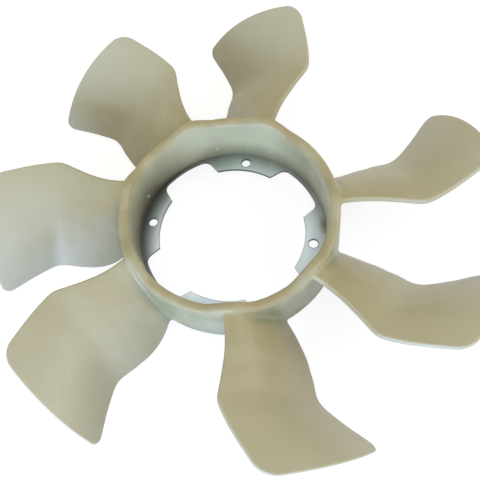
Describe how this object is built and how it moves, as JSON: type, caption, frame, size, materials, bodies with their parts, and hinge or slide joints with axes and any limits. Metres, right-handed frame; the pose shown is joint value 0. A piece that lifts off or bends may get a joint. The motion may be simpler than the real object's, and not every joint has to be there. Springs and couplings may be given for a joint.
{
  "type": "engine cooling fan",
  "caption": "Axial engine cooling fan: swept, twisted nylon blades on a deep hub cup, moulded onto a punched steel mounting ring with bolt lugs.",
  "frame": {"origin": "on the axis of turning, in the front face of the steel ring", "axes": "+Z along the axis of turning towards the open end of the hub cup, +X through a bolt hole"},
  "size_m": [0.3726, 0.3605, 0.061],
  "materials": {
    "nylon": "natural unpigmented nylon, satin, slightly translucent",
    "steel": "plated sheet steel with punched edges"
  },
  "bodies": {
    "root": {"fan_moulding": "nylon", "steel_mounting_ring": "steel"}
  },
  "joints": []
}
